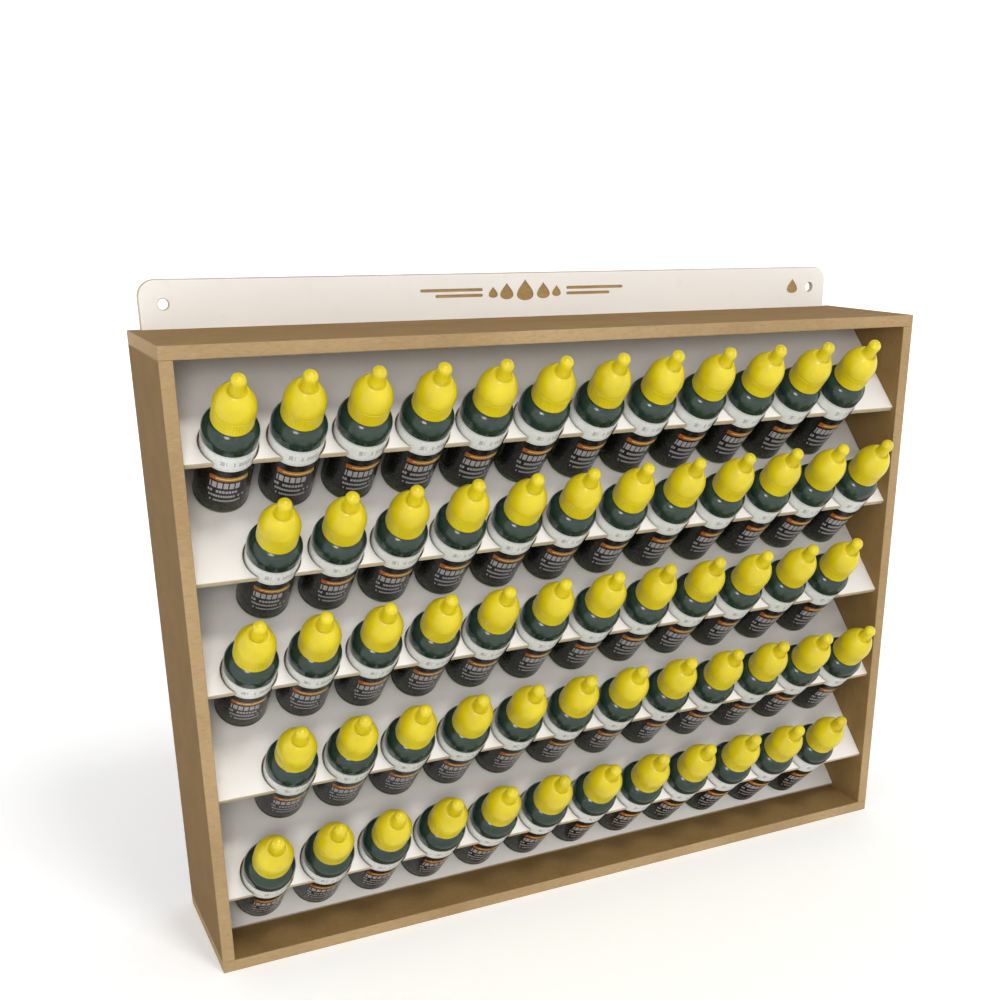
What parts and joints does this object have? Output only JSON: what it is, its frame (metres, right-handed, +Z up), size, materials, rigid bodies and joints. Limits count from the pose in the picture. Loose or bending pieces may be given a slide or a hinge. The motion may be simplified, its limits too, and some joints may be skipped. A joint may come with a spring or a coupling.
{
  "type": "paint bottle rack",
  "caption": "Shallow fibreboard box with slanted shelves that hold dropper paint bottles leaning outwards in staggered rows, with a drilled hanging strip above.",
  "frame": {"origin": "centre of the bottom board's underside, where the rack stands", "axes": "+X across the rack to the right as seen from the front, +Y from the open front to the back panel, +Z up"},
  "size_m": [0.4, 0.0981, 0.322],
  "materials": {
    "fibreboard": "raw medium-density fibreboard, matt",
    "white_board": "thin fibreboard, white faces and tan cut edges",
    "bottle_plastic": "translucent soft plastic over dark green paint, gloss",
    "cap_plastic": "yellow moulded plastic, satin gloss",
    "nozzle_plastic": "natural translucent soft plastic"
  },
  "bodies": {
    "rack": {"top_board": "fibreboard", "bottom_board": "fibreboard", "left_side": "fibreboard", "right_side": "fibreboard", "back_panel": "white_board", "base_shelf": "white_board", "bottle_shelf_1": "white_board", "bottle_shelf_2": "white_board", "bottle_shelf_3": "white_board", "bottle_shelf_4": "white_board", "bottle_shelf_5": "white_board"},
    "bottle_1_01": {"bottle_row1_01": "bottle_plastic", "nozzle_row1_01": "nozzle_plastic"},
    "cap_1_01": {"cap_row1_01": "cap_plastic"},
    "bottle_1_02": {"bottle_row1_02": "bottle_plastic", "nozzle_row1_02": "nozzle_plastic"},
    "cap_1_02": {"cap_row1_02": "cap_plastic"},
    "bottle_1_03": {"bottle_row1_03": "bottle_plastic", "nozzle_row1_03": "nozzle_plastic"},
    "cap_1_03": {"cap_row1_03": "cap_plastic"},
    "bottle_1_04": {"bottle_row1_04": "bottle_plastic", "nozzle_row1_04": "nozzle_plastic"},
    "cap_1_04": {"cap_row1_04": "cap_plastic"},
    "bottle_1_05": {"bottle_row1_05": "bottle_plastic", "nozzle_row1_05": "nozzle_plastic"},
    "cap_1_05": {"cap_row1_05": "cap_plastic"},
    "bottle_1_06": {"bottle_row1_06": "bottle_plastic", "nozzle_row1_06": "nozzle_plastic"},
    "cap_1_06": {"cap_row1_06": "cap_plastic"},
    "bottle_1_07": {"bottle_row1_07": "bottle_plastic", "nozzle_row1_07": "nozzle_plastic"},
    "cap_1_07": {"cap_row1_07": "cap_plastic"},
    "bottle_1_08": {"bottle_row1_08": "bottle_plastic", "nozzle_row1_08": "nozzle_plastic"},
    "cap_1_08": {"cap_row1_08": "cap_plastic"},
    "bottle_1_09": {"bottle_row1_09": "bottle_plastic", "nozzle_row1_09": "nozzle_plastic"},
    "cap_1_09": {"cap_row1_09": "cap_plastic"},
    "bottle_1_10": {"bottle_row1_10": "bottle_plastic", "nozzle_row1_10": "nozzle_plastic"},
    "cap_1_10": {"cap_row1_10": "cap_plastic"},
    "bottle_1_11": {"bottle_row1_11": "bottle_plastic", "nozzle_row1_11": "nozzle_plastic"},
    "cap_1_11": {"cap_row1_11": "cap_plastic"},
    "bottle_1_12": {"bottle_row1_12": "bottle_plastic", "nozzle_row1_12": "nozzle_plastic"},
    "cap_1_12": {"cap_row1_12": "cap_plastic"},
    "row_2_bottles": {"bottles_row2": "bottle_plastic", "nozzles_row2": "nozzle_plastic", "caps_row2": "cap_plastic"},
    "row_3_bottles": {"bottles_row3": "bottle_plastic", "nozzles_row3": "nozzle_plastic", "caps_row3": "cap_plastic"},
    "row_4_bottles": {"bottles_row4": "bottle_plastic", "nozzles_row4": "nozzle_plastic", "caps_row4": "cap_plastic"},
    "row_5_bottles": {"bottles_row5": "bottle_plastic", "nozzles_row5": "nozzle_plastic", "caps_row5": "cap_plastic"}
  },
  "joints": [
    {"name": "lift_bottle_1_01", "type": "slide", "parent": "rack", "child": "bottle_1_01", "axis": [0, -0.7071, 0.7071], "range_m": [0, 0.09]},
    {"name": "lift_cap_1_01", "type": "slide", "parent": "bottle_1_01", "child": "cap_1_01", "axis": [0, -0.7071, 0.7071], "range_m": [0, 0.03]},
    {"name": "lift_bottle_1_02", "type": "slide", "parent": "rack", "child": "bottle_1_02", "axis": [0, -0.7071, 0.7071], "range_m": [0, 0.09]},
    {"name": "lift_cap_1_02", "type": "slide", "parent": "bottle_1_02", "child": "cap_1_02", "axis": [0, -0.7071, 0.7071], "range_m": [0, 0.03]},
    {"name": "lift_bottle_1_03", "type": "slide", "parent": "rack", "child": "bottle_1_03", "axis": [0, -0.7071, 0.7071], "range_m": [0, 0.09]},
    {"name": "lift_cap_1_03", "type": "slide", "parent": "bottle_1_03", "child": "cap_1_03", "axis": [0, -0.7071, 0.7071], "range_m": [0, 0.03]},
    {"name": "lift_bottle_1_04", "type": "slide", "parent": "rack", "child": "bottle_1_04", "axis": [0, -0.7071, 0.7071], "range_m": [0, 0.09]},
    {"name": "lift_cap_1_04", "type": "slide", "parent": "bottle_1_04", "child": "cap_1_04", "axis": [0, -0.7071, 0.7071], "range_m": [0, 0.03]},
    {"name": "lift_bottle_1_05", "type": "slide", "parent": "rack", "child": "bottle_1_05", "axis": [0, -0.7071, 0.7071], "range_m": [0, 0.09]},
    {"name": "lift_cap_1_05", "type": "slide", "parent": "bottle_1_05", "child": "cap_1_05", "axis": [0, -0.7071, 0.7071], "range_m": [0, 0.03]},
    {"name": "lift_bottle_1_06", "type": "slide", "parent": "rack", "child": "bottle_1_06", "axis": [0, -0.7071, 0.7071], "range_m": [0, 0.09]},
    {"name": "lift_cap_1_06", "type": "slide", "parent": "bottle_1_06", "child": "cap_1_06", "axis": [0, -0.7071, 0.7071], "range_m": [0, 0.03]},
    {"name": "lift_bottle_1_07", "type": "slide", "parent": "rack", "child": "bottle_1_07", "axis": [0, -0.7071, 0.7071], "range_m": [0, 0.09]},
    {"name": "lift_cap_1_07", "type": "slide", "parent": "bottle_1_07", "child": "cap_1_07", "axis": [0, -0.7071, 0.7071], "range_m": [0, 0.03]},
    {"name": "lift_bottle_1_08", "type": "slide", "parent": "rack", "child": "bottle_1_08", "axis": [0, -0.7071, 0.7071], "range_m": [0, 0.09]},
    {"name": "lift_cap_1_08", "type": "slide", "parent": "bottle_1_08", "child": "cap_1_08", "axis": [0, -0.7071, 0.7071], "range_m": [0, 0.03]},
    {"name": "lift_bottle_1_09", "type": "slide", "parent": "rack", "child": "bottle_1_09", "axis": [0, -0.7071, 0.7071], "range_m": [0, 0.09]},
    {"name": "lift_cap_1_09", "type": "slide", "parent": "bottle_1_09", "child": "cap_1_09", "axis": [0, -0.7071, 0.7071], "range_m": [0, 0.03]},
    {"name": "lift_bottle_1_10", "type": "slide", "parent": "rack", "child": "bottle_1_10", "axis": [0, -0.7071, 0.7071], "range_m": [0, 0.09]},
    {"name": "lift_cap_1_10", "type": "slide", "parent": "bottle_1_10", "child": "cap_1_10", "axis": [0, -0.7071, 0.7071], "range_m": [0, 0.03]},
    {"name": "lift_bottle_1_11", "type": "slide", "parent": "rack", "child": "bottle_1_11", "axis": [0, -0.7071, 0.7071], "range_m": [0, 0.09]},
    {"name": "lift_cap_1_11", "type": "slide", "parent": "bottle_1_11", "child": "cap_1_11", "axis": [0, -0.7071, 0.7071], "range_m": [0, 0.03]},
    {"name": "lift_bottle_1_12", "type": "slide", "parent": "rack", "child": "bottle_1_12", "axis": [0, -0.7071, 0.7071], "range_m": [0, 0.09]},
    {"name": "lift_cap_1_12", "type": "slide", "parent": "bottle_1_12", "child": "cap_1_12", "axis": [0, -0.7071, 0.7071], "range_m": [0, 0.03]},
    {"name": "lift_row_2", "type": "slide", "parent": "rack", "child": "row_2_bottles", "axis": [0, -0.7071, 0.7071], "range_m": [0, 0.09]},
    {"name": "lift_row_3", "type": "slide", "parent": "rack", "child": "row_3_bottles", "axis": [0, -0.7071, 0.7071], "range_m": [0, 0.09]},
    {"name": "lift_row_4", "type": "slide", "parent": "rack", "child": "row_4_bottles", "axis": [0, -0.7071, 0.7071], "range_m": [0, 0.09]},
    {"name": "lift_row_5", "type": "slide", "parent": "rack", "child": "row_5_bottles", "axis": [0, -0.7071, 0.7071], "range_m": [0, 0.09]}
  ]
}
